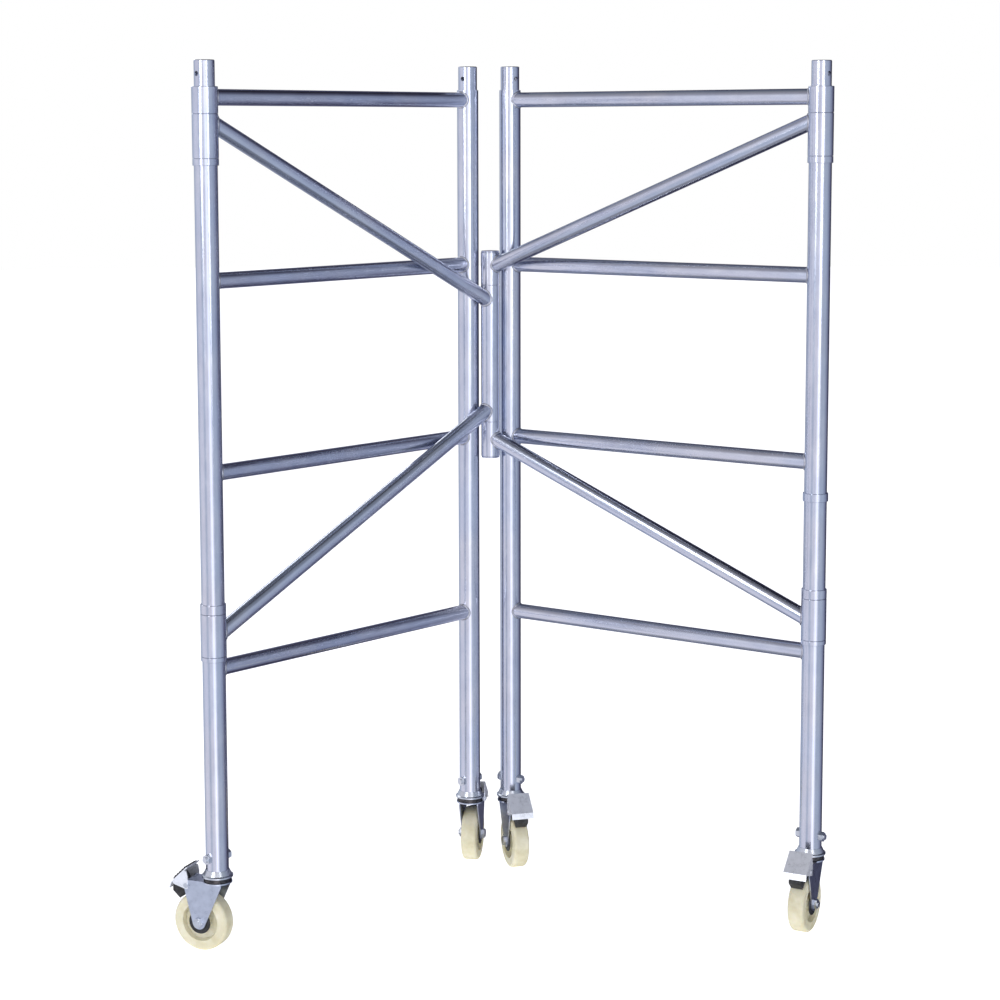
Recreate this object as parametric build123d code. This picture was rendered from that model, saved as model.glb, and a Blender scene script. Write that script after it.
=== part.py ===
"""Folding scaffold section on four castors.

Two ladder frames stand on end.  A folding gate joins them: each half of the gate is two
slanting braces, welded to two collars that turn on the ladder's front post and to the
knuckles of a middle hinge.  Millimetres, +Z up, origin on the floor under the centre of
the footprint.
"""

from build123d import *
import math
import os

os.makedirs("parts", exist_ok=True)

# ---------------------------------------------------------------- driving dimensions
# ladder frames
LADDER_WIDTH = 780.0  # front post axis to rear post axis
POST_OD = 48.3
POST_WALL = 2.5
POST_LENGTH = 1628.0
FOOT_HEIGHT = 177.0  # underside of a post above the floor
SPIGOT_OD = 42.4
SPIGOT_WALL = 3.0
SPIGOT_EXPOSED = 53.0
SPIGOT_INSERTED = 60.0
SPIGOT_CHAMFER = 1.5
LOCK_HOLE_D = 10.0
LOCK_HOLE_DROP = 28.0  # hole centre below the top of the spigot
RUNG_OD = 33.7
RUNG_WALL = 2.0
RUNG_LEVELS = (428.0, 838.0, 1234.0, 1606.0)  # above the underside of the posts

# folding gate
GATE_LENGTH = 805.0  # post axis to middle hinge axis
BRACE_OD = 33.7
BRACE_WALL = 2.0
COLLAR_OD = 53.7
COLLAR_BORE = 48.44  # runs on the 48.3 post
COLLAR_UPPER = (1483.4, 1572.6)
COLLAR_LOWER = (456.4, 545.6)
STOP_UPPER = (1468.6, 1483.0)
HEAD_SLEEVE = (1573.0, 1627.6)
STOP_MIDDLE = (546.0, 566.0)
STOP_LOWER = (446.0, 456.0)
JOINT_RING = (755.0, 773.0)  # only on the right front post
BRACE_POST_UPPER = 1563.0  # where the upper braces would meet the post axis
BRACE_POST_LOWER = 492.5
LEFT_HINGE_UPPER = 1149.0  # where the left braces would meet the hinge axis
LEFT_HINGE_LOWER = 907.0
RIGHT_HINGE_UPPER = 1227.0
RIGHT_HINGE_LOWER = 840.0
KNUCKLE_OD = 42.4
KNUCKLE_BORE = 34.14
PIN_OD = 34.0
PIN_WALL = 3.0
HINGE_BOTTOM = 794.0
HINGE_TOP = 1262.0
HINGE_SPLIT_LOWER = 874.5
HINGE_SPLIT_UPPER = 1188.0
KNUCKLE_GAP = 0.8
PIN_CAP = 3.0  # thickness of the cap at each end of the pin
PIN_CAP_GAP = 0.4

# castors, with the wheel trailing along +X of their own frame
WHEEL_D = 125.0
WHEEL_WIDTH = 36.0
TREAD_CORNER = 7.0
RIM_INNER_R = 41.0
WEB_HALF = 7.0
HUB_R = 19.0
HUB_HALF = 18.0
TRAIL = 34.0
AXLE_R = 6.0
SLEEVE_R = 8.0
SLEEVE_RUN = 0.06
GUARD_R = 25.0
GUARD_THICK = 1.4
FORK_INNER_HALF = 20.0
FORK_PLATE = 2.8
CROWN_BOTTOM = 149.0
CROWN_PLATE = 3.0
CROWN_R = 31.0
CROWN_REACH = 62.0  # how far the crown's plate runs back over the wheel
LEG_FOOT_R = 15.0
# x, drop below the crown and radius of the corners at the top of a leg
LEG_CORNERS = ((-14.0, 6.0, 6.0), (62.0, 8.0, 8.0), (60.0, 12.0, 9.0))
PLATE_R = 33.0
PLATE_BOTTOM = 161.0
PLATE_TOP = 167.0
KINGPIN_R = 8.0
KINGPIN_RUN = 0.08
KINGPIN_HEAD_R = 13.0
STEM_UP = 70.0  # how far the stem reaches up inside the post
PEDAL_PIVOT = (62.0, 141.0)
PEDAL_PIN_R = 3.0
PEDAL_PIN_RUN = 0.06
PEDAL_PLATE = 2.5
PEDAL_HALF = 26.0
PEDAL_LINE = ((58.0, 179.0), (96.0, 143.0), (100.0, 131.0))
PEDAL_FLANGE = ((64.0, 168.0, 4.0), (88.0, 145.0, 5.0))  # x, z and radius of its corners
PEDAL_EAR_R = 8.0
SHOE_GAP = 4.0
SHOE_HALF = 13.0
SHOE_REACH = 48.0  # more than the way from the tread to the pedal's plate
SHOE_ARC = (42.0, 66.0)  # degrees round the wheel, up from level

# stem bolts through the feet of the posts
BOLT_R = 6.0
BOLT_HEX = 19.0  # across flats
BOLT_HEAD = 7.5
BOLT_LEVEL = 26.0  # above the underside of the post

# how the object stands at rest, seen from above, degrees from +X
LEFT_GATE_DIR = 224.4  # from the hinge to the left front post
RIGHT_GATE_DIR = 328.9
LADDER_OFFSET = 3.3  # each ladder lies this far behind its gate
TRAIL_DIRS = {
    "front_left": 158.0,
    "rear_left": 80.0,
    "rear_right": 286.0,
    "front_right": 243.0,
}
LOCK_HOLE_DIRS = {
    "front_left": 228.0,
    "rear_left": 238.0,
    "rear_right": 310.0,
    "front_right": 310.0,
}

# ---------------------------------------------------------------- derived values
POST_R = POST_OD / 2
COLLAR_R = COLLAR_OD / 2
KNUCKLE_R = KNUCKLE_OD / 2
WHEEL_R = WHEEL_D / 2
FORK_OUTER_HALF = FORK_INNER_HALF + FORK_PLATE
CROWN_TOP = CROWN_BOTTOM + CROWN_PLATE
SPIGOT_TOP = POST_LENGTH + SPIGOT_EXPOSED
UP = (Align.CENTER, Align.CENTER, Align.MIN)


def reach(start, length, direction):
    """The plan point that lies length away from start."""
    angle = math.radians(direction)
    return (start[0] + length * math.cos(angle), start[1] + length * math.sin(angle))


HINGE = (0.0, 0.0)
FRONT_LEFT = reach(HINGE, GATE_LENGTH, LEFT_GATE_DIR)
FRONT_RIGHT = reach(HINGE, GATE_LENGTH, RIGHT_GATE_DIR)
LEFT_LADDER_DIR = LEFT_GATE_DIR - 180.0 + LADDER_OFFSET
RIGHT_LADDER_DIR = RIGHT_GATE_DIR - 180.0 - LADDER_OFFSET
REAR_LEFT = reach(FRONT_LEFT, LADDER_WIDTH, LEFT_LADDER_DIR)
REAR_RIGHT = reach(FRONT_RIGHT, LADDER_WIDTH, RIGHT_LADDER_DIR)
POSTS = {
    "front_left": FRONT_LEFT,
    "rear_left": REAR_LEFT,
    "rear_right": REAR_RIGHT,
    "front_right": FRONT_RIGHT,
}
LADDERS = {
    "left": ("front_left", "rear_left", LEFT_LADDER_DIR),
    "right": ("front_right", "rear_right", RIGHT_LADDER_DIR),
}


# ---------------------------------------------------------------- helpers
def rod(radius, low, high):
    """A solid upright cylinder on the Z axis."""
    return Pos(0, 0, low) * Cylinder(radius, high - low, align=UP)


def tube(outer_d, inner_d, low, high):
    """An upright tube on the Z axis."""
    return rod(outer_d / 2, low, high) - rod(inner_d / 2, low - 1, high + 1)


def ring(outer_d, inner_d, low, high, rounding):
    """A tube with rounded outer edges."""
    blank = rod(outer_d / 2, low, high)
    blank = fillet(blank.edges().filter_by(GeomType.CIRCLE), rounding)
    return blank - rod(inner_d / 2, low - 1, high + 1)


def strut(start, end, outer_d, wall):
    """A tube from one point to another."""
    direction = Vector(*end) - Vector(*start)
    plane = Plane(origin=start, z_dir=direction)
    outer = Cylinder(outer_d / 2, direction.length, align=UP)
    inner = Cylinder(outer_d / 2 - wall, direction.length, align=UP)
    return plane * (outer - inner)


def side_plate(circles, y_low, thickness):
    """A plate standing along X and Z, with the outline drawn round a set of circles."""
    with BuildSketch(Plane.XZ) as outline:
        for x, z, radius in circles:
            with Locations((x, z)):
                Circle(radius)
        make_hull()
    return Pos(0, y_low + thickness, 0) * extrude(outline.sketch, thickness)


def side_slab(points, half):
    """A block with an outline of straight edges in X and Z, half wide each way in Y."""
    with BuildSketch(Plane.XZ) as outline:
        with BuildLine():
            Polyline(*points, close=True)
        make_face()
    return extrude(outline.sketch, half, both=True)


def cross_rod(radius, x, z, half):
    """A cylinder along Y, half long each way."""
    return Pos(x, 0, z) * Rot(90, 0, 0) * Cylinder(radius, 2 * half)


def hexagon(across_flats, low, high):
    """A hexagonal prism along Z with chamfered corners at its top."""
    with BuildSketch() as outline:
        RegularPolygon(across_flats / 2, 6, major_radius=False)
    prism = Pos(0, 0, low) * extrude(outline.sketch, high - low)
    corner_r = across_flats / math.sqrt(3)
    cone = Pos(0, 0, low) * Cone(corner_r + (high - low) * 1.6, corner_r - 1.0, high - low, align=UP)
    return prism & cone


def stand(shape, name):
    """Put a shape built on the Z axis onto the axis of a post."""
    x, y = POSTS[name]
    return Pos(x, y, FOOT_HEIGHT) * shape


# ---------------------------------------------------------------- ladder frames
def post():
    """A post tube, drilled for the bolt that holds the castor's stem."""
    body = tube(POST_OD, POST_OD - 2 * POST_WALL, 0, POST_LENGTH)
    return body - Pos(0, 0, BOLT_LEVEL) * Rot(0, 90, 0) * Cylinder(BOLT_R, 2 * POST_OD)


def spigot(direction):
    """The reduced stub on top of a post, with its cross hole along direction."""
    outer = rod(SPIGOT_OD / 2, POST_LENGTH, SPIGOT_TOP)
    outer = chamfer(outer.edges().sort_by(Axis.Z)[-1], SPIGOT_CHAMFER)
    plug = rod(POST_R - POST_WALL, POST_LENGTH - SPIGOT_INSERTED, POST_LENGTH)
    bore = rod(SPIGOT_OD / 2 - SPIGOT_WALL, POST_LENGTH - SPIGOT_INSERTED - 1, SPIGOT_TOP + 1)
    hole = Rot(0, 0, direction) * Rot(0, 90, 0) * Cylinder(LOCK_HOLE_D / 2, 2 * SPIGOT_OD)
    return outer + plug - bore - Pos(0, 0, SPIGOT_TOP - LOCK_HOLE_DROP) * hole


def rung(front, rear, level):
    """A rung, coped to fit round the two posts of its ladder."""
    z = FOOT_HEIGHT + level
    bar = strut((*POSTS[front], z), (*POSTS[rear], z), RUNG_OD, RUNG_WALL)
    at_head = HEAD_SLEEVE[0] < level < HEAD_SLEEVE[1]
    front_r = COLLAR_R if at_head else POST_R
    bar -= stand(rod(front_r, level - RUNG_OD, level + RUNG_OD), front)
    return bar - stand(rod(POST_R, level - RUNG_OD, level + RUNG_OD), rear)


def collar_stops(front, spans):
    """The rings and the head sleeve welded round a front post, between the collars."""
    return [stand(ring(COLLAR_OD, POST_OD, low, high, 1.2), front) for low, high in spans]


def stem_bolt():
    """The bolt and nut through the foot of a post, along X."""
    shank = rod(BOLT_R, -POST_R - BOLT_HEAD - 4.0, POST_R + 1.0)
    head = hexagon(BOLT_HEX, POST_R - 6.0, POST_R + BOLT_HEAD)
    nut = Rot(180, 0, 0) * hexagon(BOLT_HEX, POST_R - 6.0, POST_R + BOLT_HEAD)
    saddle = Rot(0, 90, 0) * Cylinder(POST_R, 3 * POST_OD)
    bolt = shank + (head - saddle)
    nut = nut - saddle - rod(BOLT_R, -3 * POST_OD, 0)
    turn = Pos(0, 0, BOLT_LEVEL) * Rot(0, 90, 0)
    return [turn * bolt, turn * nut]


def ladder_nodes(side):
    """Every piece of one ladder frame, castors apart."""
    front, rear, direction = LADDERS[side]
    turn = Rot(0, 0, direction)
    spans = [HEAD_SLEEVE, STOP_UPPER, STOP_MIDDLE, STOP_LOWER]
    if side == "right":
        spans.append(JOINT_RING)
    nodes = {
        f"{side}_front_post": stand(turn * post(), front),
        f"{side}_rear_post": stand(turn * post(), rear),
        f"{side}_spigots": [stand(spigot(LOCK_HOLE_DIRS[name]), name) for name in (front, rear)],
        f"{side}_collar_stops": collar_stops(front, spans),
        f"{side}_stem_bolts": [stand(turn * piece, name) for name in (front, rear) for piece in stem_bolt()],
        f"{side}_ball_races": [castor_frame(ball_race(), name, 0.0) for name in (front, rear)],
    }
    for number, level in enumerate(RUNG_LEVELS, start=1):
        nodes[f"{side}_rung_{number}"] = rung(front, rear, level)
    return nodes


# ---------------------------------------------------------------- folding gate
def collar(name, span):
    """A sleeve that turns on a front post."""
    return stand(ring(COLLAR_OD, COLLAR_BORE, *span, 1.0), name)


def knuckle(low, high, bore):
    """One barrel of the middle hinge."""
    return Pos(*HINGE, FOOT_HEIGHT) * ring(KNUCKLE_OD, bore, low, high, 0.8)


def brace(name, post_level, hinge_level):
    """A slanting tube from a collar to a knuckle, coped at both ends."""
    start = (*POSTS[name], FOOT_HEIGHT + post_level)
    end = (*HINGE, FOOT_HEIGHT + hinge_level)
    bar = strut(start, end, BRACE_OD, BRACE_WALL)
    bar -= stand(rod(COLLAR_R, post_level - 90, post_level + 90), name)
    return bar - Pos(*end) * rod(KNUCKLE_R, -90, 90)


def hinge_pin():
    """The loose tube that all three knuckles turn on, capped at both ends."""
    pin = tube(PIN_OD, PIN_OD - 2 * PIN_WALL, HINGE_BOTTOM - PIN_CAP_GAP, HINGE_TOP + PIN_CAP_GAP)
    caps = []
    for low in (HINGE_BOTTOM - PIN_CAP_GAP - PIN_CAP, HINGE_TOP + PIN_CAP_GAP):
        disc = rod(KNUCKLE_R - 1.0, low, low + PIN_CAP)
        caps.append(fillet(disc.edges().filter_by(GeomType.CIRCLE), 0.9))
    return Pos(*HINGE, FOOT_HEIGHT) * (pin + caps[0] + caps[1])


def gate_nodes():
    """Both halves of the gate and the hinge pin."""
    low_split = (HINGE_SPLIT_LOWER - KNUCKLE_GAP / 2, HINGE_SPLIT_LOWER + KNUCKLE_GAP / 2)
    high_split = (HINGE_SPLIT_UPPER - KNUCKLE_GAP / 2, HINGE_SPLIT_UPPER + KNUCKLE_GAP / 2)
    return {
        "left_upper_collar": collar("front_left", COLLAR_UPPER),
        "left_lower_collar": collar("front_left", COLLAR_LOWER),
        "left_upper_brace": brace("front_left", BRACE_POST_UPPER, LEFT_HINGE_UPPER),
        "left_lower_brace": brace("front_left", BRACE_POST_LOWER, LEFT_HINGE_LOWER),
        "middle_knuckle": knuckle(low_split[1], high_split[0], KNUCKLE_BORE),
        "right_upper_collar": collar("front_right", COLLAR_UPPER),
        "right_lower_collar": collar("front_right", COLLAR_LOWER),
        "right_upper_brace": brace("front_right", BRACE_POST_UPPER, RIGHT_HINGE_UPPER),
        "right_lower_brace": brace("front_right", BRACE_POST_LOWER, RIGHT_HINGE_LOWER),
        "top_knuckle": knuckle(high_split[1], HINGE_TOP, KNUCKLE_BORE),
        "bottom_knuckle": knuckle(HINGE_BOTTOM, low_split[0], KNUCKLE_BORE),
        "hinge_pin": hinge_pin(),
    }


# ---------------------------------------------------------------- castors
def castor_frame(shape, name, direction):
    """Put a shape built round the swivel axis under its post, trailing along direction."""
    x, y = POSTS[name]
    return Pos(x, y, 0) * Rot(0, 0, direction) * shape


def turned(points):
    """A solid turned round the Z axis from an outline of radius and height."""
    with BuildSketch(Plane.XZ) as outline:
        with BuildLine():
            Polyline(*points, close=True)
        make_face()
    return revolve(outline.sketch, Axis.Z)


def stem():
    """Kingpin, top plate and the plug that fills the foot of the post."""
    plug_r = POST_R - POST_WALL
    top = FOOT_HEIGHT + STEM_UP
    body = turned(
        (
            (0, CROWN_BOTTOM - 5.0),
            (KINGPIN_HEAD_R - 3.0, CROWN_BOTTOM - 5.0),
            (KINGPIN_HEAD_R, CROWN_BOTTOM - 2.5),
            (KINGPIN_HEAD_R, CROWN_BOTTOM - 0.4),
            (KINGPIN_R, CROWN_BOTTOM - 0.4),
            (KINGPIN_R, PLATE_BOTTOM),
            (PLATE_R - 1.0, PLATE_BOTTOM),
            (PLATE_R, PLATE_BOTTOM + 1.0),
            (PLATE_R, PLATE_TOP - 2.0),
            (PLATE_R - 3.0, PLATE_TOP),
            (POST_R + 1.0, FOOT_HEIGHT),
            (plug_r, FOOT_HEIGHT),
            (plug_r, top - 3.0),
            (plug_r - 3.0, top),
            (0, top),
        )
    )
    bolt_hole = Pos(0, 0, FOOT_HEIGHT + BOLT_LEVEL) * Rot(0, 90, 0) * Cylinder(BOLT_R, 3 * POST_OD)
    return body - bolt_hole


def ball_race():
    """The ring of the swivel bearing, under the top plate."""
    return ring(2 * CROWN_R - 3.0, 2 * KINGPIN_R + 16.0, CROWN_TOP + 0.4, PLATE_BOTTOM, 1.0)


def fork():
    """The pressed yoke: a crown with two tapering legs."""
    crown_plate = side_slab(
        ((0, CROWN_BOTTOM), (CROWN_REACH, CROWN_BOTTOM), (CROWN_REACH, CROWN_TOP), (0, CROWN_TOP)),
        FORK_OUTER_HALF,
    )
    body = rod(CROWN_R, CROWN_BOTTOM, CROWN_TOP) + crown_plate
    leg_circles = [(TRAIL, WHEEL_R, LEG_FOOT_R)]
    leg_circles += [(x, CROWN_TOP - drop, radius) for x, drop, radius in LEG_CORNERS]
    for y_low in (-FORK_OUTER_HALF, FORK_INNER_HALF):
        body += side_plate(leg_circles, y_low, FORK_PLATE)
    body -= rod(KINGPIN_R + KINGPIN_RUN, CROWN_BOTTOM - 1, CROWN_TOP + 1)
    body -= cross_rod(AXLE_R, TRAIL, WHEEL_R, 2 * FORK_OUTER_HALF)
    return body - cross_rod(PEDAL_PIN_R, *PEDAL_PIVOT, 2 * FORK_OUTER_HALF)


def axle_set():
    """Axle bolt, its nut, the spacer that the wheel runs on, and the brake's pivot pin."""
    length = FORK_OUTER_HALF + BOLT_HEAD
    head = hexagon(BOLT_HEX, FORK_OUTER_HALF, length)
    bolt = rod(AXLE_R, -length - 3.0, FORK_OUTER_HALF) + head
    nut = Rot(180, 0, 0) * hexagon(BOLT_HEX, FORK_OUTER_HALF, length)
    nut -= rod(AXLE_R, -length - 9.0, 0)
    sleeve = tube(2 * SLEEVE_R, 2 * AXLE_R, -FORK_INNER_HALF, FORK_INNER_HALF)
    lay = Pos(TRAIL, 0, WHEEL_R) * Rot(90, 0, 0)
    pin = cross_rod(PEDAL_PIN_R, *PEDAL_PIVOT, PEDAL_HALF + 0.4)
    for side in (1, -1):
        button = cross_rod(PEDAL_PIN_R + 2.0, *PEDAL_PIVOT, 0.8)
        pin += Pos(0, side * (PEDAL_HALF + 1.2), 0) * button
    return [lay * bolt, lay * nut, lay * sleeve, pin]


def wheel():
    """The one-piece nylon wheel: tread, dished web and hub, with its axis along Y."""
    bore_r = SLEEVE_R + SLEEVE_RUN
    half = WHEEL_WIDTH / 2
    with BuildSketch(Plane.XZ) as outline:
        with BuildLine():
            Polyline(
                (bore_r, -HUB_HALF),
                (HUB_R - 1.5, -HUB_HALF),
                (HUB_R + 1.5, -WEB_HALF),
                (RIM_INNER_R - 3.0, -WEB_HALF),
                (RIM_INNER_R, -half),
                (WHEEL_R, -half),
                (WHEEL_R, half),
                (RIM_INNER_R, half),
                (RIM_INNER_R - 3.0, WEB_HALF),
                (HUB_R + 1.5, WEB_HALF),
                (HUB_R - 1.5, HUB_HALF),
                (bore_r, HUB_HALF),
                close=True,
            )
        make_face()
        tread_corners = outline.vertices().sort_by(Axis.X)[-2:]
        fillet(tread_corners, TREAD_CORNER)
    body = revolve(outline.sketch, Axis.Z)
    return Pos(TRAIL, 0, WHEEL_R) * Rot(90, 0, 0) * body


def thread_guards():
    """Two thin covers on the ends of the hub."""
    bore_d = 2 * (SLEEVE_R + SLEEVE_RUN)
    lay = Pos(TRAIL, 0, WHEEL_R) * Rot(90, 0, 0)
    spans = ((HUB_HALF, HUB_HALF + GUARD_THICK), (-HUB_HALF - GUARD_THICK, -HUB_HALF))
    return [lay * ring(2 * GUARD_R, bore_d, low, high, 0.5) for low, high in spans]


def under_pedal(half):
    """The space below the pedal's plate, as a block."""
    floor_z = WHEEL_R
    points = PEDAL_LINE + ((PEDAL_LINE[-1][0], floor_z), (PEDAL_LINE[0][0], floor_z))
    return side_slab(points, half)


def pedal():
    """The brake pedal: a bent plate with two flanges that hang on the pivot pin."""
    with BuildSketch(Plane.XZ) as outline:
        with BuildLine():
            line = Polyline(*PEDAL_LINE)
            offset(line, PEDAL_PLATE, kind=Kind.INTERSECTION, side=Side.LEFT)
        make_face()
    body = extrude(outline.sketch, PEDAL_HALF, both=True)
    flange_circles = ((*PEDAL_PIVOT, PEDAL_EAR_R), *PEDAL_FLANGE)
    space = under_pedal(PEDAL_HALF)
    flange_plate = PEDAL_HALF - FORK_OUTER_HALF - 0.5
    for y_low in (-PEDAL_HALF, PEDAL_HALF - flange_plate):
        body += side_plate(flange_circles, y_low, flange_plate) & space
    return body - cross_rod(PEDAL_PIN_R + PEDAL_PIN_RUN, *PEDAL_PIVOT, 2 * PEDAL_HALF)


def brake_shoe():
    """The rubber block under the pedal that presses on the tread."""
    inner_r = WHEEL_R + SHOE_GAP
    outer_r = inner_r + SHOE_REACH
    low, high = (math.radians(angle) for angle in SHOE_ARC)
    corners = [(0.0, 0.0)]
    for angle in (low, high):
        corners.append((outer_r * math.cos(angle), outer_r * math.sin(angle)))
    wedge = side_slab([(TRAIL + x, WHEEL_R + z) for x, z in corners], SHOE_HALF)
    return (wedge & under_pedal(SHOE_HALF)) - cross_rod(inner_r, TRAIL, WHEEL_R, 2 * SHOE_HALF)


def castor_nodes(name):
    """Every piece of one castor; its stem is drilled along the rungs."""
    direction = TRAIL_DIRS[name]
    bolt_dir = next(ladder[2] for ladder in LADDERS.values() if name in ladder)
    return {
        f"{name}_stem": castor_frame(stem(), name, bolt_dir),
        f"{name}_fork": castor_frame(fork(), name, direction),
        f"{name}_axle_set": [castor_frame(piece, name, direction) for piece in axle_set()],
        f"{name}_wheel": castor_frame(wheel(), name, direction),
        f"{name}_thread_guards": [castor_frame(piece, name, direction) for piece in thread_guards()],
        f"{name}_pedal": castor_frame(pedal(), name, direction),
        f"{name}_brake_shoe": castor_frame(brake_shoe(), name, direction),
    }


# ---------------------------------------------------------------- assembly and export
def all_nodes():
    """Every node, as a list of its solids, before the origin is set."""
    nodes = {}
    for side in LADDERS:
        nodes.update(ladder_nodes(side))
    nodes.update(gate_nodes())
    for name in POSTS:
        nodes.update(castor_nodes(name))
    return {name: piece if isinstance(piece, list) else [piece] for name, piece in nodes.items()}


def footprint_centre(nodes):
    """The centre of the whole object's box, seen from above."""
    boxes = [solid.bounding_box() for pieces in nodes.values() for solid in pieces]
    low_x = min(box.min.X for box in boxes)
    low_y = min(box.min.Y for box in boxes)
    high_x = max(box.max.X for box in boxes)
    high_y = max(box.max.Y for box in boxes)
    return ((low_x + high_x) / 2, (low_y + high_y) / 2)


NODES = all_nodes()
CENTRE = footprint_centre(NODES)
for node, pieces in NODES.items():
    shifted = [Pos(-CENTRE[0], -CENTRE[1], 0) * piece for piece in pieces]
    shape = shifted[0] if len(shifted) == 1 else Compound(children=shifted)
    export_step(shape, f"parts/{node}.step")
print("nodes", len(NODES), "centre", CENTRE)
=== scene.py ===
import math

import bmesh
import bpy
from mathutils import Matrix, Vector, noise


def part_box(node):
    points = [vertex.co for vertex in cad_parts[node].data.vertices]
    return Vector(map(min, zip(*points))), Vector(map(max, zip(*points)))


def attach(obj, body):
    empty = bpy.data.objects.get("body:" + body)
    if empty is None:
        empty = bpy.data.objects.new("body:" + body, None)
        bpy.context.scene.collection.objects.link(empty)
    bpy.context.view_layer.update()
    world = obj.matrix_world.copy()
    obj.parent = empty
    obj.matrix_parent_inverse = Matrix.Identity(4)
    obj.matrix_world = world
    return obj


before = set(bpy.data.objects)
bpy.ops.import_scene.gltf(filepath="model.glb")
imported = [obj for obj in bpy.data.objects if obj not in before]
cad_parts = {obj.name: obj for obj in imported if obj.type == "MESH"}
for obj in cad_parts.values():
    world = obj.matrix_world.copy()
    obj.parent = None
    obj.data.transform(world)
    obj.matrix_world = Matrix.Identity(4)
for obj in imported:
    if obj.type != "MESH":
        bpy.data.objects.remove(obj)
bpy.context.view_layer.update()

# Looks for a folding scaffold section: galvanised tube, zinc-plated castors, nylon wheels.
# Metres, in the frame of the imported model. Places come from the frame's nodes and joints.

# ------------------------------------------------------------------ sizes in metres
BEAD_R = 0.0026  # half the width of a weld bead
BEAD_STEPS = 84
BEAD_SIDES = 8
BEAD_RIPPLES = 30
RIPPLE_SHARE = 0.10  # of the bead's radius
WOBBLE_SHARE = 0.12
FIRST_SLOPE = 0.45  # a brace's slope is found step by step from here
SLOPE_STEPS = 30
CORNERS = ("front_left", "rear_left", "rear_right", "front_right")
RUNGS = (1, 2, 3, 4)  # from the bottom

# the ribbed pad on a brake pedal, its black painted shade
PAD_START = 0.0597  # from the post's axis to the outer top edge of a pedal's plate
PAD_RUN, PAD_DROP = 0.038, 0.036  # the slope of that plate
PAD_MARGIN = 0.004  # from that edge to the first row of studs
PAD_ROWS, PAD_COLUMNS = 5, 6
PAD_PITCH = 0.0078
PAD_BORDER = 0.001
PAD_THICK = 0.0028
PAD_LIFT = 0.0001
PAD_BEVEL = 0.0008
STUD_HALF = 0.0023
STUD_HIGH = 0.0014
STUD_BEVEL = 0.0006

# shading
SMOOTH_ANGLE = 35.0  # degrees between faces where an edge starts to show, on CAD nodes
BEAD_SMOOTH_ANGLE = 50.0

# the noise textures' useful span
NOISE_LOW, NOISE_HIGH = 0.3, 0.7


def middle(node):
    """The centre of a node's box."""
    low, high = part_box(node)
    return (low + high) / 2


def post_of(corner):
    """The node that is the post above a castor."""
    end, side = corner.split("_")
    return f"{side}_{end}_post"


def half_size(node, axis="x"):
    """Half a node's size along one axis."""
    low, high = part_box(node)
    return (getattr(high, axis) - getattr(low, axis)) / 2


POST_AT = {corner: middle(post_of(corner)) for corner in CORNERS}
POST_R = half_size("left_front_post")
COLLAR_R = half_size("left_upper_collar")
KNUCKLE_R = half_size("middle_knuckle")
RUNG_R = half_size("left_rung_1", "z")
HINGE_AT = middle("hinge_pin")


# ------------------------------------------------------------------ node tree helpers
def new_material(name):
    """A material using nodes, its node tree and its Principled shader."""
    material = bpy.data.materials.new(name)
    material.use_nodes = True
    tree = material.node_tree
    shader = next(n for n in tree.nodes if n.type == "BSDF_PRINCIPLED")
    return material, tree, shader


def add(tree, kind, **settings):
    """A node with its inputs or properties set by name."""
    node = tree.nodes.new(kind)
    for key, value in settings.items():
        if key in node.inputs:
            node.inputs[key].default_value = value
        else:
            setattr(node, key, value)
    return node


def mapped(tree, axis=None, stretch=(1.0, 1.0, 1.0)):
    """Object coordinates, turned so that X runs along axis and then stretched."""
    source = add(tree, "ShaderNodeTexCoord").outputs["Object"]
    if axis is not None:
        turn = add(tree, "ShaderNodeMapping")
        turn.inputs["Rotation"].default_value = axis.rotation_difference(Vector((1, 0, 0))).to_euler()
        tree.links.new(source, turn.inputs["Vector"])
        source = turn.outputs["Vector"]
    scale = add(tree, "ShaderNodeMapping")
    scale.inputs["Scale"].default_value = stretch
    tree.links.new(source, scale.inputs["Vector"])
    return scale.outputs["Vector"]


def noise_value(tree, vector, scale, detail=4.0, roughness=0.55):
    """A noise texture's value."""
    node = add(tree, "ShaderNodeTexNoise", Scale=scale, Detail=detail, Roughness=roughness)
    tree.links.new(vector, node.inputs["Vector"])
    return node.outputs["Fac"]


def ramp(tree, value, stops, interpolation="LINEAR"):
    """A colour ramp over value; stops are (position, colour) pairs."""
    node = add(tree, "ShaderNodeValToRGB")
    node.color_ramp.interpolation = interpolation
    elements = node.color_ramp.elements
    while len(elements) < len(stops):
        elements.new(0.5)
    for element, (position, colour) in zip(elements, stops):
        element.position = position
        element.color = (*colour, 1.0) if len(colour) == 3 else colour
    tree.links.new(value, node.inputs["Fac"])
    return node.outputs["Color"]


def mix_colour(tree, factor, a, b, blend="MIX"):
    """Two colours mixed by factor; each may be a socket or a colour."""
    node = add(tree, "ShaderNodeMix", data_type="RGBA", blend_type=blend)
    for socket, value in ((node.inputs[0], factor), (node.inputs[6], a), (node.inputs[7], b)):
        if isinstance(value, bpy.types.NodeSocket):
            tree.links.new(value, socket)
        elif isinstance(value, tuple):
            socket.default_value = (*value, 1.0)
        else:
            socket.default_value = value
    return node.outputs[2]


def math_node(tree, operation, a, b=None):
    """One arithmetic step; inputs may be sockets or numbers."""
    node = add(tree, "ShaderNodeMath", operation=operation)
    for socket, value in zip(node.inputs, (a, b)):
        if isinstance(value, bpy.types.NodeSocket):
            tree.links.new(value, socket)
        elif value is not None:
            socket.default_value = value
    return node.outputs[0]


def spread(tree, value, low, high):
    """Stretch the useful span of a noise value over low to high."""
    node = add(tree, "ShaderNodeMapRange")
    node.inputs["From Min"].default_value = NOISE_LOW
    node.inputs["From Max"].default_value = NOISE_HIGH
    node.inputs["To Min"].default_value = low
    node.inputs["To Max"].default_value = high
    tree.links.new(value, node.inputs["Value"])
    return node.outputs["Result"]


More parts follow.
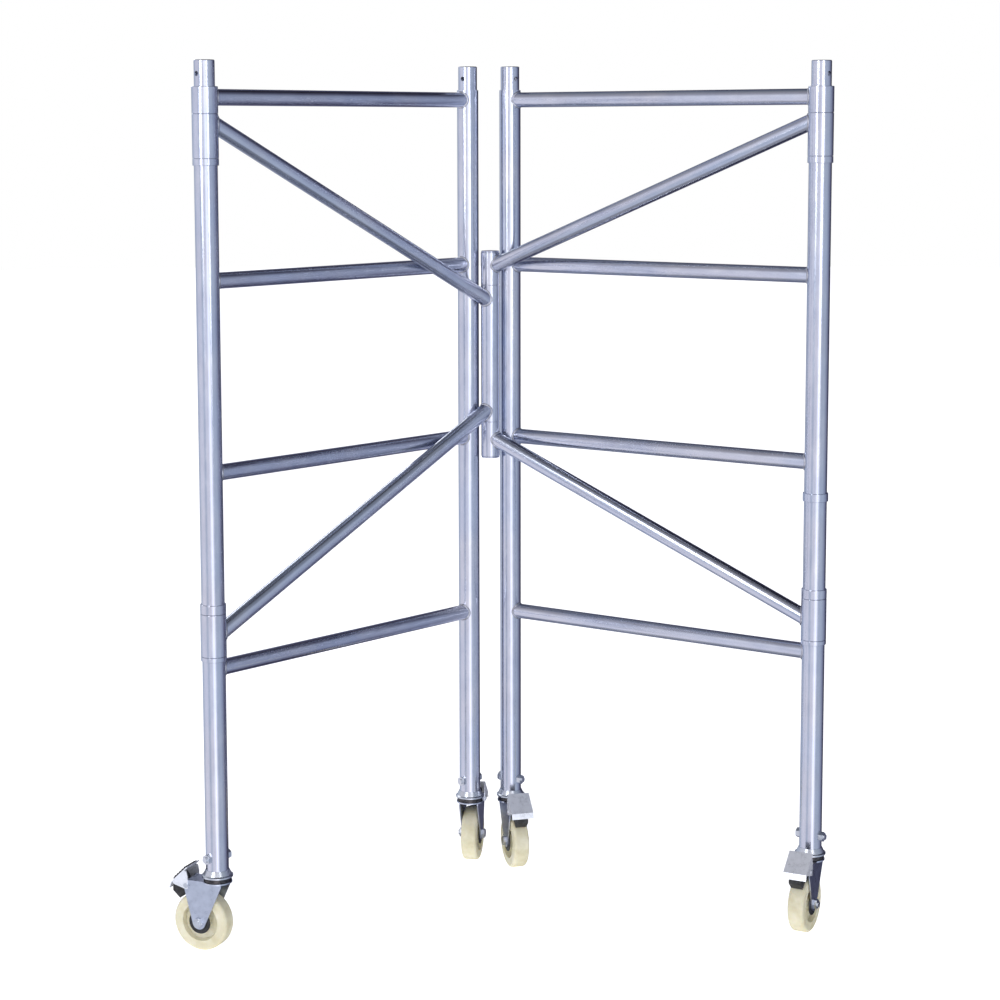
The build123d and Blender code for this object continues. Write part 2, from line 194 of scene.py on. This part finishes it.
def bumped(tree, shader, heights):
    """Chain bumps into the shader's normal; heights are (socket, strength, distance)."""
    normal = None
    for height, strength, distance in heights:
        node = add(tree, "ShaderNodeBump", Strength=strength, Distance=distance)
        tree.links.new(height, node.inputs["Height"])
        if normal is not None:
            tree.links.new(normal, node.inputs["Normal"])
        normal = node.outputs["Normal"]
    tree.links.new(normal, shader.inputs["Normal"])


# ------------------------------------------------------------------ materials
def galvanised(name, axis):
    """Bright galvanised tube: drawn grain along axis, soft zinc cloud and small scuffs."""
    material, tree, shader = new_material(name)
    shader.inputs["Metallic"].default_value = 1.0
    grain = noise_value(tree, mapped(tree, axis, (0.03, 1.0, 1.0)), 1400.0, 3.0, 0.6)
    cloud = noise_value(tree, mapped(tree, axis, (0.35, 1.0, 1.0)), 42.0, 5.0, 0.62)
    wide = noise_value(tree, mapped(tree), 7.0, 2.0, 0.5)
    scuff = noise_value(tree, mapped(tree, axis, (0.12, 1.0, 1.0)), 190.0, 6.0, 0.7)
    body = ramp(tree, cloud, (
        (0.30, (0.57, 0.60, 0.69)), (0.52, (0.63, 0.66, 0.74)), (0.72, (0.70, 0.72, 0.79)),
    ))
    tone = ramp(tree, wide, ((0.35, (0.93, 0.95, 1.0)), (0.65, (1.0, 0.98, 0.98))))
    colour = mix_colour(tree, 1.0, body, tone, "MULTIPLY")
    mark = ramp(tree, scuff, ((0.68, (0.0, 0.0, 0.0)), (0.76, (1.0, 1.0, 1.0))))
    colour = mix_colour(tree, math_node(tree, "MULTIPLY", mark, 0.35), colour, (0.30, 0.31, 0.36))
    tree.links.new(colour, shader.inputs["Base Color"])
    rough = math_node(tree, "ADD", spread(tree, cloud, 0.15, 0.23), spread(tree, grain, 0.0, 0.05))
    rough = math_node(tree, "ADD", rough, math_node(tree, "MULTIPLY", mark, 0.12))
    tree.links.new(rough, shader.inputs["Roughness"])
    bumped(tree, shader, ((grain, 0.08, 0.0001), (cloud, 0.05, 0.0003)))
    return material


def weld_metal():
    """Weld bead under zinc: duller and rougher than the tube."""
    material, tree, shader = new_material("weld_bead")
    shader.inputs["Metallic"].default_value = 1.0
    fine = noise_value(tree, mapped(tree), 900.0, 5.0, 0.65)
    patch = noise_value(tree, mapped(tree), 120.0, 3.0)
    colour = ramp(tree, patch, (
        (0.32, (0.34, 0.34, 0.38)), (0.55, (0.56, 0.57, 0.62)), (0.75, (0.72, 0.73, 0.77)),
    ))
    tree.links.new(colour, shader.inputs["Base Color"])
    tree.links.new(spread(tree, fine, 0.34, 0.55), shader.inputs["Roughness"])
    bumped(tree, shader, ((fine, 0.35, 0.0004),))
    return material


def zinc_plate(name, tint, metallic=1.0):
    """Pressed steel with zinc plating: fine satin grain and rubbed patches.

    A metallic value below 1 makes the plating whiter and less of a mirror.
    """
    material, tree, shader = new_material(name)
    shader.inputs["Metallic"].default_value = metallic
    fine = noise_value(tree, mapped(tree, stretch=(1.0, 1.0, 0.25)), 1500.0, 3.0)
    patch = noise_value(tree, mapped(tree), 60.0, 5.0, 0.6)
    dark = tuple(0.88 * c for c in tint)
    light = tuple(min(1.0, 1.08 * c) for c in tint)
    colour = ramp(tree, patch, ((0.30, dark), (0.50, tint), (0.70, light)))
    tree.links.new(colour, shader.inputs["Base Color"])
    rough = math_node(tree, "ADD", spread(tree, patch, 0.24, 0.31), spread(tree, fine, 0.0, 0.07))
    tree.links.new(rough, shader.inputs["Roughness"])
    bumped(tree, shader, ((fine, 0.12, 0.0002), (patch, 0.05, 0.0004)))
    return material


def nylon():
    """Ivory cast nylon: warm clouding, faint turning marks and a little light inside."""
    material, tree, shader = new_material("nylon")
    shader.inputs["Subsurface Weight"].default_value = 0.25
    shader.inputs["Subsurface Radius"].default_value = (0.012, 0.009, 0.005)
    shader.inputs["Subsurface Scale"].default_value = 1.0
    shader.inputs["Specular IOR Level"].default_value = 0.5
    cloud = noise_value(tree, mapped(tree), 30.0, 5.0, 0.6)
    speck = noise_value(tree, mapped(tree), 420.0, 4.0, 0.7)
    colour = ramp(tree, cloud, (
        (0.28, (0.58, 0.53, 0.34)), (0.50, (0.68, 0.64, 0.46)), (0.72, (0.76, 0.73, 0.58)),
    ))
    grime = ramp(tree, speck, ((0.68, (0.0, 0.0, 0.0)), (0.78, (1.0, 1.0, 1.0))))
    colour = mix_colour(tree, math_node(tree, "MULTIPLY", grime, 0.35), colour, (0.42, 0.40, 0.30))
    tree.links.new(colour, shader.inputs["Base Color"])
    tree.links.new(spread(tree, speck, 0.26, 0.44), shader.inputs["Roughness"])
    bumped(tree, shader, ((speck, 0.10, 0.0003), (cloud, 0.15, 0.0012)))
    return material


def dark_plastic(name, base, rough, grain_size):
    """Black moulded plastic or rubber with a fine grain and dusty patches."""
    material, tree, shader = new_material(name)
    grain = noise_value(tree, mapped(tree), grain_size, 4.0, 0.65)
    dust = noise_value(tree, mapped(tree), 70.0, 5.0, 0.6)
    lighter = tuple(c * 2.2 + 0.02 for c in base)
    colour = ramp(tree, dust, ((0.42, base), (0.75, lighter)))
    tree.links.new(colour, shader.inputs["Base Color"])
    tree.links.new(spread(tree, grain, rough - 0.08, rough + 0.10), shader.inputs["Roughness"])
    bumped(tree, shader, ((grain, 0.25, 0.0003),))
    return material


def race_steel():
    """Dark greased bearing steel."""
    material, tree, shader = new_material("race_steel")
    shader.inputs["Metallic"].default_value = 1.0
    smear = noise_value(tree, mapped(tree, stretch=(1.0, 1.0, 3.0)), 160.0, 4.0)
    colour = ramp(tree, smear, ((0.35, (0.03, 0.03, 0.035)), (0.68, (0.15, 0.14, 0.14))))
    tree.links.new(colour, shader.inputs["Base Color"])
    tree.links.new(spread(tree, smear, 0.25, 0.5), shader.inputs["Roughness"])
    bumped(tree, shader, ((smear, 0.15, 0.0003),))
    return material


def pale_floor():
    """The plain studio floor."""
    material, tree, shader = new_material("studio_floor")
    shader.inputs["Base Color"].default_value = (0.86, 0.86, 0.86, 1.0)
    shader.inputs["Roughness"].default_value = 0.8
    shader.inputs["Specular IOR Level"].default_value = 0.0
    shader.inputs["Emission Color"].default_value = (1.0, 1.0, 1.0, 1.0)
    shader.inputs["Emission Strength"].default_value = 0.92
    return material


UP = Vector((0, 0, 1))
UPRIGHT = galvanised("galvanised_upright", UP)
WELD = weld_metal()
ZINC = zinc_plate("zinc_plate", (0.60, 0.64, 0.74))
ZINC_BOLT = zinc_plate("zinc_bolt", (0.66, 0.69, 0.74))
ZINC_BRIGHT = zinc_plate("zinc_bright", (0.86, 0.88, 0.93), 0.55)
NYLON = nylon()
BLACK = dark_plastic("black_plastic", (0.012, 0.012, 0.013), 0.42, 900.0)
# black rubber for the brake shoes; the same black on the front-left pedal's pad is painted shade
RUBBER_AND_PAINTED_SHADE = dark_plastic("black_rubber_and_painted_shade", (0.016, 0.016, 0.017), 0.62, 500.0)
RACE = race_steel()


def paint(node, material):
    """Give a CAD node its material."""
    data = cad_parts[node].data
    data.materials.clear()
    data.materials.append(material)


def shade_smooth(mesh, angle=SMOOTH_ANGLE):
    """Smooth shading with sharp edges where faces meet at more than angle."""
    mesh.shade_smooth()
    mesh.set_sharp_from_angle(angle=math.radians(angle))


# ------------------------------------------------------------------ tubes
def rung_line(side):
    """The level line from a ladder's front post to its rear one."""
    line = POST_AT[f"rear_{side}"] - POST_AT[f"front_{side}"]
    line.z = 0
    return line


def paint_tubes():
    """Every tube, with the grain along its own length."""
    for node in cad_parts:
        if node.endswith(("_post", "_spigots", "_collar", "_collar_stops", "_knuckle", "hinge_pin")):
            paint(node, UPRIGHT)
    for side in ("left", "right"):
        metal = galvanised(f"galvanised_rung_{side}", rung_line(side).normalized())
        for number in RUNGS:
            paint(f"{side}_rung_{number}", metal)
        for level in ("upper", "lower"):
            start, end = brace_axis(side, level)
            metal = galvanised(f"galvanised_{side}_{level}_brace", (end - start).normalized())
            paint(f"{side}_{level}_brace", metal)


def brace_axis(side, level):
    """The two points on the axis of a brace, at the post axis and at the hinge axis."""
    low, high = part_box(f"{side}_{level}_brace")
    post = POST_AT[f"front_{side}"]
    plan = (HINGE_AT - post).to_2d().length
    # the coped tube spans from the collar's surface to the knuckle's, so its box gives the slope
    drop = high.z - low.z
    run = plan - COLLAR_R - KNUCKLE_R
    slope = FIRST_SLOPE
    for _ in range(SLOPE_STEPS):
        rise = drop - 2 * RUNG_R / math.cos(math.atan(slope))
        slope = rise / run
    sign = -1.0 if level == "upper" else 1.0
    radius_up = RUNG_R / math.cos(math.atan(slope))
    near_z = high.z - radius_up if level == "upper" else low.z + radius_up
    start = Vector((post.x, post.y, near_z - sign * slope * COLLAR_R))
    end = Vector((HINGE_AT.x, HINGE_AT.y, start.z + sign * slope * plan))
    return start, end


# ------------------------------------------------------------------ mesh helpers
def new_piece(name, bm, body, material, smooth=True):
    """Finish a bmesh as a piece that rides on a body, with rounded or flat shading."""
    bmesh.ops.recalc_face_normals(bm, faces=bm.faces)
    mesh = bpy.data.meshes.new(name)
    bm.to_mesh(mesh)
    bm.free()
    mesh.materials.append(material)
    if smooth:
        shade_smooth(mesh, BEAD_SMOOTH_ANGLE)
    piece = bpy.data.objects.new(name, mesh)
    bpy.context.scene.collection.objects.link(piece)
    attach(piece, body)
    return piece


def sweep_loop(bm, path, radius_at):
    """A closed tube of BEAD_SIDES sides that follows a closed path of points."""
    count = len(path)
    centroid = sum(path, Vector()) / count
    rings = []
    for i, point in enumerate(path):
        ahead = path[(i + 1) % count] - path[i - 1]
        ahead.normalize()
        outward = (point - centroid).cross(ahead).normalized()
        side = ahead.cross(outward).normalized()
        radius = radius_at(i / count)
        ring = []
        for k in range(BEAD_SIDES):
            angle = 2 * math.pi * k / BEAD_SIDES
            ring.append(bm.verts.new(point + radius * (math.cos(angle) * outward + math.sin(angle) * side)))
        rings.append(ring)
    for i in range(count):
        a, b = rings[i], rings[(i + 1) % count]
        for k in range(BEAD_SIDES):
            n = (k + 1) % BEAD_SIDES
            bm.faces.new((a[k], a[n], b[n], b[k]))


def ripple(phase):
    """The bead's radius round a joint: regular ripples, a little uneven."""
    def radius(t):
        turn = 2 * math.pi * t
        wave = RIPPLE_SHARE * math.sin(BEAD_RIPPLES * turn)
        wobble = WOBBLE_SHARE * noise.noise(Vector((math.cos(turn), math.sin(turn), phase)))
        return BEAD_R * (1.0 + wave + wobble)
    return radius


def saddle_path(point, direction, tube_r, centre, post_r):
    """Where a tube from point along direction leaves the surface of an upright of post_r."""
    direction = direction.normalized()
    across = direction.cross(UP).normalized()
    over = across.cross(direction).normalized()
    path = []
    for i in range(BEAD_STEPS):
        angle = 2 * math.pi * i / BEAD_STEPS
        start = point + tube_r * (math.cos(angle) * across + math.sin(angle) * over)
        offset = (start - centre).to_2d()
        heading = direction.to_2d()
        a = heading.dot(heading)
        b = 2 * offset.dot(heading)
        c = offset.dot(offset) - post_r * post_r
        travel = (-b + math.sqrt(max(b * b - 4 * a * c, 0.0))) / (2 * a)
        path.append(start + travel * direction)
    return path


def frame_welds(side):
    """The beads of one ladder, at both ends of each rung."""
    bm = bmesh.new()
    front, rear = POST_AT[f"front_{side}"], POST_AT[f"rear_{side}"]
    along = rung_line(side)
    for number in RUNGS:
        z = middle(f"{side}_rung_{number}").z
        # the top rung meets the head sleeve, which is as wide as a collar
        front_r = COLLAR_R if number == RUNGS[-1] else POST_R
        ends = ((front, along, front_r), (rear, -along, POST_R))
        for centre, heading, radius in ends:
            start = Vector((centre.x, centre.y, z))
            sweep_loop(bm, saddle_path(start, heading, RUNG_R, centre, radius), ripple(number + radius))
    return new_piece(f"{side}_frame_welds", bm, f"{side}_frame", WELD)


def gate_welds(side):
    """The beads of one half of the gate, at the collars and the knuckles."""
    bm = bmesh.new()
    for level in ("upper", "lower"):
        start, end = brace_axis(side, level)
        centre = Vector((start.x, start.y, 0))
        sweep_loop(bm, saddle_path(start, end - start, RUNG_R, centre, COLLAR_R), ripple(0.3))
        hinge = Vector((end.x, end.y, 0))
        sweep_loop(bm, saddle_path(end, start - end, RUNG_R, hinge, KNUCKLE_R), ripple(0.7))
    return new_piece(f"{side}_gate_welds", bm, f"{side}_gate", WELD)


# ------------------------------------------------------------------ castors
def paint_castors():
    """Every castor node's material."""
    looks = {
        "stem": ZINC_BOLT,
        "fork": ZINC,
        "axle_set": ZINC_BOLT,
        "wheel": NYLON,
        "thread_guards": BLACK,
        "pedal": ZINC_BRIGHT,
        "brake_shoe": RUBBER_AND_PAINTED_SHADE,
    }
    for corner in CORNERS:
        for piece, material in looks.items():
            paint(f"{corner}_{piece}", material)
    for side in ("left", "right"):
        paint(f"{side}_stem_bolts", ZINC_BOLT)
        paint(f"{side}_ball_races", RACE)


def add_block(bm, centre, axes, halves, taper):
    """A block about centre, its outer face set in by taper all round."""
    corners = []
    for level, shrink in ((-1, 0.0), (1, taper)):
        for a, b in ((-1, -1), (1, -1), (1, 1), (-1, 1)):
            offset = axes[0] * a * (halves[0] - shrink) + axes[1] * b * (halves[1] - shrink)
            corners.append(bm.verts.new(centre + offset + axes[2] * level * halves[2]))
    bm.faces.new(corners[3::-1])
    bm.faces.new(corners[4:])
    for k in range(4):
        n = (k + 1) % 4
        bm.faces.new((corners[k], corners[n], corners[n + 4], corners[k + 4]))


def add_stud(bm, place, across, down, out):
    """One raised diamond of the pad."""
    turned = ((across + down).normalized(), (down - across).normalized(), out)
    centre = place + down * (PAD_PITCH / 2) + out * (PAD_THICK + STUD_HIGH / 2)
    add_block(bm, centre, turned, (STUD_HALF, STUD_HALF, STUD_HIGH / 2), STUD_BEVEL)


def add_slab(bm, top, across, down, out):
    """The pad's base, a little larger than its field of diamonds."""
    half_long = PAD_ROWS * PAD_PITCH / 2 + PAD_BORDER
    half_wide = PAD_COLUMNS * PAD_PITCH / 2 + PAD_BORDER
    centre = top + down * (PAD_ROWS * PAD_PITCH / 2) + out * (PAD_THICK / 2 + PAD_LIFT)
    add_block(bm, centre, (across, down, out), (half_wide, half_long, PAD_THICK / 2), PAD_BEVEL)


def pedal_painted_shade_pad(corner):
    """A ribbed pad on the sloping plate of a brake pedal, in black rubber as painted shade: its black
    stands in for the dark reflection on that pedal's plate.
    """
    bm = bmesh.new()
    foot = POST_AT[corner]
    wheel = middle(f"{corner}_wheel")
    along = Vector((wheel.x - foot.x, wheel.y - foot.y, 0)).normalized()
    across = along.cross(UP)
    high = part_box(f"{corner}_pedal")[1].z
    # the plate falls away from the post: down its slope, and out of its upper face
    down = (along * PAD_RUN - UP * PAD_DROP).normalized()
    out = across.cross(down).normalized()
    top = Vector((foot.x, foot.y, high)) + along * PAD_START + down * PAD_MARGIN
    for row in range(PAD_ROWS):
        for column in range(PAD_COLUMNS):
            row_start = top + down * (row * PAD_PITCH)
            side = (column - (PAD_COLUMNS - 1) / 2) * PAD_PITCH
            add_stud(bm, row_start + across * side, across, down, out)
    add_slab(bm, top, across, down, out)
    return new_piece(f"{corner}_pedal_painted_shade_pad", bm, f"{corner}_brake", RUBBER_AND_PAINTED_SHADE, smooth=False)


# ------------------------------------------------------------------ camera, floor and light
FLOOR_R = 24.0
CAMERA_AT = Vector((-0.0193, -4.9778, 1.7171))
CAMERA_YAW, CAMERA_PITCH, CAMERA_ROLL = 0.285, -6.747, 0.154  # degrees, from level along +Y
CAMERA_LENS = 82.37  # millimetres, on a sensor 36 mm wide
CAMERA_SHIFT = (0.020, -0.100)  # keeps the posts nearly parallel in the view


def make_camera():
    """The camera, level with the top rungs and looking slightly down."""
    data = bpy.data.cameras.new("camera")
    data.sensor_width = 36.0
    data.lens = CAMERA_LENS
    data.shift_x, data.shift_y = CAMERA_SHIFT
    data.clip_end = 100.0
    camera = bpy.data.objects.new("camera", data)
    bpy.context.scene.collection.objects.link(camera)
    yaw, pitch, roll = (math.radians(angle) for angle in (CAMERA_YAW, CAMERA_PITCH, CAMERA_ROLL))
    turn = Matrix.Rotation(yaw, 3, "Z") @ Matrix.Rotation(pitch, 3, "X") @ Matrix.Rotation(roll, 3, "Y")
    right, forward, above = turn.col
    matrix = Matrix((right, above, -forward)).transposed().to_4x4()
    matrix.translation = CAMERA_AT
    camera.matrix_world = matrix
    bpy.context.scene.camera = camera


def make_floor():
    """A plain pale floor, out to FLOOR_R; the tubes reflect the studio walls instead of it."""
    bm = bmesh.new()
    bmesh.ops.create_circle(bm, cap_ends=True, segments=96, radius=FLOOR_R)
    mesh = bpy.data.meshes.new("floor")
    bm.to_mesh(mesh)
    bm.free()
    mesh.materials.append(pale_floor())
    floor = bpy.data.objects.new("floor", mesh)
    bpy.context.scene.collection.objects.link(floor)
    floor.visible_glossy = False


# the studio walls as seen from the object: place round the circle, then colour; 0.25 is -Y
SHADE = (0.03, 0.03, 0.05)
DUSK = (0.14, 0.14, 0.22)
DIM = (0.36, 0.40, 0.52)
MIST = (0.52, 0.58, 0.69)
LILAC = (0.86, 0.85, 0.93)
STRIP = (1.50, 1.50, 1.62)
WALLS = (
    (0.00, LILAC), (0.07, LILAC), (0.12, MIST), (0.17, LILAC), (0.23, LILAC),
    (0.26, STRIP), (0.29, STRIP), (0.34, MIST), (0.43, MIST), (0.50, DIM),
    (0.57, DUSK), (0.63, SHADE), (0.74, DUSK), (0.86, MIST), (1.00, LILAC),
)
# brightness of the walls from straight down (0) to straight up (1)
PROFILE = (
    (0.00, 0.42), (0.06, 0.50), (0.15, 1.10), (0.30, 1.08), (0.55, 1.02), (0.68, 0.95),
    (0.80, 0.55), (0.93, 0.42), (0.98, 0.16), (1.00, 0.05),
)


def make_world():
    """Soft studio surroundings: light and dark panels all round, darker above and below."""
    world = bpy.data.worlds.new("studio")
    bpy.context.scene.world = world
    world.use_nodes = True
    tree = world.node_tree
    background = next(n for n in tree.nodes if n.type == "BACKGROUND")
    where = add(tree, "ShaderNodeTexCoord").outputs["Generated"]
    split = add(tree, "ShaderNodeSeparateXYZ")
    tree.links.new(where, split.inputs["Vector"])
    angle = math_node(tree, "ARCTAN2", split.outputs["Y"], split.outputs["X"])
    share = math_node(tree, "ADD", math_node(tree, "DIVIDE", angle, 2 * math.pi), 0.5)
    walls = ramp(tree, share, WALLS, "EASE")
    height = math_node(tree, "ADD", math_node(tree, "MULTIPLY", split.outputs["Z"], 0.5), 0.5)
    profile = ramp(tree, height, tuple((place, (v, v, v)) for place, v in PROFILE), "EASE")
    room = mix_colour(tree, 1.0, walls, profile, "MULTIPLY")
    seen = add(tree, "ShaderNodeLightPath").outputs["Is Camera Ray"]
    colour = mix_colour(tree, seen, room, (1.0, 1.0, 1.0))
    tree.links.new(colour, background.inputs["Color"])
    background.inputs["Strength"].default_value = 1.0


# name, width and height, watts, place, and the point that it faces
LAMPS = (
    ("key", (0.8, 2.4), 38.0, (-2.6, -3.4, 2.6), (0, 0, 0.9)),
    ("fill", (0.5, 2.2), 14.0, (1.6, -3.8, 2.0), (0, 0, 0.9)),
    ("back", (2.4, 0.6), 16.0, (-2.2, 3.0, 3.0), (0, 0, 1.0)),
)


def make_lamp(name, size, power, place, target):
    """A soft rectangular lamp."""
    data = bpy.data.lights.new(name, "AREA")
    data.shape = "RECTANGLE"
    data.size, data.size_y = size
    data.energy = power
    lamp = bpy.data.objects.new(name, data)
    lamp.location = place
    lamp.rotation_euler = (Vector(target) - Vector(place)).to_track_quat("-Z", "Y").to_euler()
    bpy.context.scene.collection.objects.link(lamp)


paint_tubes()
paint_castors()
for SIDE in ("left", "right"):
    frame_welds(SIDE)
    gate_welds(SIDE)
# painted shade: a black pad on the front-left pedal only, standing in for the dark reflection on its plate;
# the other three pedals stay bare bright zinc
pedal_painted_shade_pad("front_left")
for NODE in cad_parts.values():
    shade_smooth(NODE.data)

make_camera()
make_floor()
make_world()
for LAMP in LAMPS:
    make_lamp(*LAMP)
bpy.context.scene.view_settings.view_transform = "Standard"
